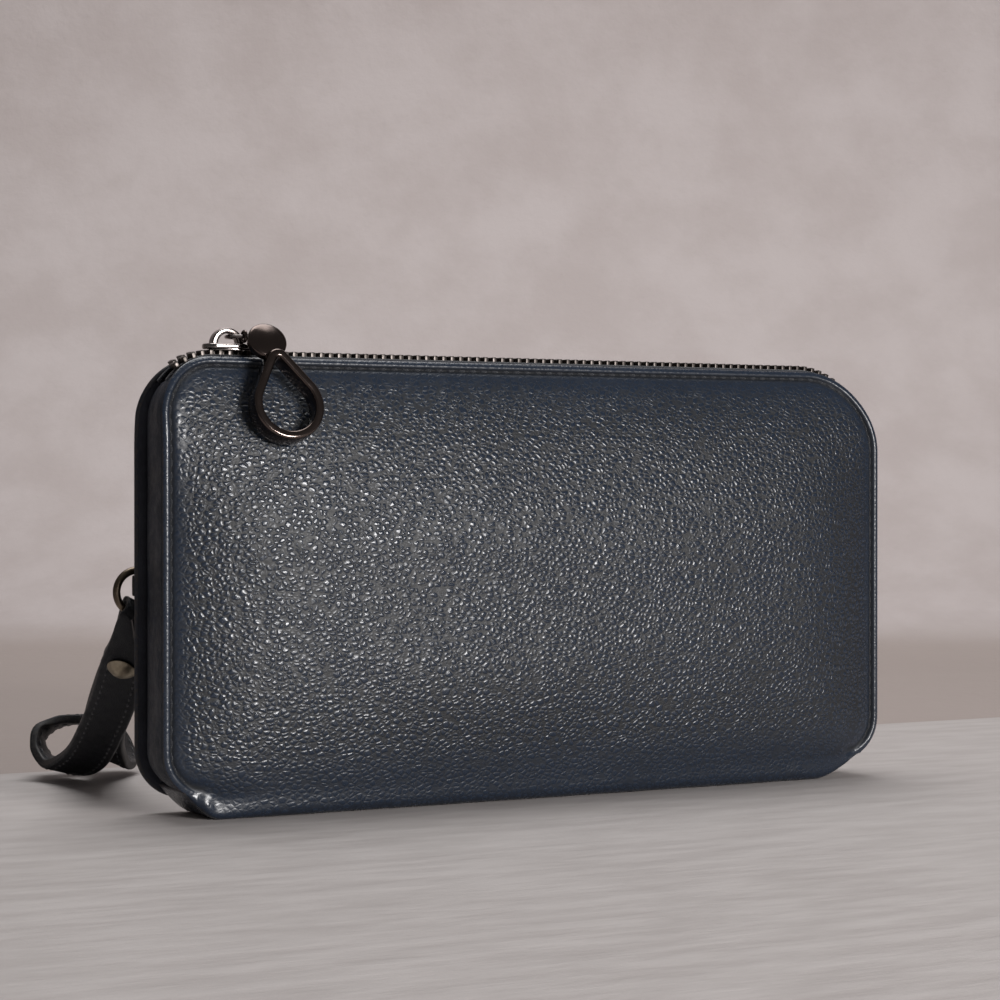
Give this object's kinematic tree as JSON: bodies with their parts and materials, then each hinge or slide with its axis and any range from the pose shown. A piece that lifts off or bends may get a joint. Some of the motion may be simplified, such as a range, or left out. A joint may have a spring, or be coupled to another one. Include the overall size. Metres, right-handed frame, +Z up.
{
  "type": "long wallet",
  "caption": "Long zip-top wallet with a padded front, gusseted ends, card slots, an inner coin pocket and a wrist strap on a ring.",
  "frame": {"origin": "middle of the flat bottom the wallet stands on", "axes": "+X along the wallet away from the strap's end, +Y towards the back, +Z up"},
  "size_m": [0.2016, 0.1169, 0.1129],
  "materials": {
    "pebbled_leather": "soft pebbled cowhide, satin sheen",
    "smooth_leather": "smooth dyed leather, low sheen",
    "strap_leather": "smooth strap leather with painted edges",
    "slot_leather": "thin lining leather",
    "zip_metal": "polished zip teeth",
    "gunmetal": "polished gunmetal plating",
    "antique_bronze": "antique bronze plating",
    "zip_tape": "woven polyester tape",
    "lining_cloth": "woven lining cloth",
    "padding": "open foam sheet",
    "board": "fibre board"
  },
  "bodies": {
    "shell": {"bottom_panel": "pebbled_leather", "back_panel": "pebbled_leather", "left_gusset": "smooth_leather", "right_gusset": "smooth_leather", "back_zip_tape": "zip_tape", "back_zip_teeth": "zip_metal", "ring_tab": "pebbled_leather", "bottom_lining": "lining_cloth", "back_board": "board", "back_lining": "lining_cloth", "card_slot_a1": "slot_leather", "card_slot_a2": "slot_leather", "card_slot_a3": "slot_leather", "card_slot_a4": "slot_leather", "card_slot_b1": "slot_leather", "card_slot_b2": "slot_leather", "card_slot_b3": "slot_leather", "card_slot_b4": "slot_leather", "coin_front": "lining_cloth", "coin_back": "lining_cloth", "coin_tape_front": "zip_tape", "coin_tape_back": "zip_tape", "coin_teeth_front": "antique_bronze", "coin_teeth_back": "antique_bronze"},
    "front": {"front_panel": "pebbled_leather", "front_zip_tape": "zip_tape", "front_zip_teeth": "zip_metal", "front_foam": "padding", "front_lining": "lining_cloth"},
    "slider": {"slider": "gunmetal"},
    "link": {"pull_link": "gunmetal"},
    "pull": {"pull_cap": "gunmetal", "pull_loop": "gunmetal"},
    "ring": {"d_ring": "antique_bronze"},
    "strap": {"wrist_strap": "strap_leather", "strap_rivet_cap": "antique_bronze", "strap_rivet_back": "antique_bronze"},
    "coin_slider": {"coin_slider": "antique_bronze"},
    "coin_pull": {"coin_pull": "antique_bronze"}
  },
  "joints": [
    {"name": "mouth_open", "type": "hinge", "parent": "shell", "child": "front", "pos_m": [0, -0.005, 0.0015], "axis": [1, 0, 0], "range_deg": [0, 10]},
    {"name": "slider_travel", "type": "slide", "parent": "front", "child": "slider", "axis": [1, 0, 0], "range_m": [0, 0.158]},
    {"name": "link_tilt", "type": "hinge", "parent": "slider", "child": "link", "pos_m": [-0.0768, 0, 0.1099], "axis": [1, 0, 0], "range_deg": [-10, 0]},
    {"name": "pull_swing", "type": "hinge", "parent": "link", "child": "pull", "pos_m": [-0.0768, -0.003, 0.1099], "axis": [1, 0, 0], "range_deg": [-75, 0]},
    {"name": "ring_swing", "type": "hinge", "parent": "shell", "child": "ring", "pos_m": [-0.0955, 0.0135, 0.051], "axis": [0, 0, 1], "range_deg": [-45, 12]},
    {"name": "strap_swing", "type": "hinge", "parent": "ring", "child": "strap", "pos_m": [-0.0992, 0.0135, 0.0467], "axis": [0.866, 0, -0.5], "range_deg": [0, 18]},
    {"name": "coin_slider_travel", "type": "slide", "parent": "shell", "child": "coin_slider", "axis": [1, 0, 0], "range_m": [0, 0.124]},
    {"name": "coin_pull_lift", "type": "hinge", "parent": "coin_slider", "child": "coin_pull", "pos_m": [-0.062, 0.001, 0.0822], "axis": [0, 1, 0], "range_deg": [0, 170]}
  ]
}
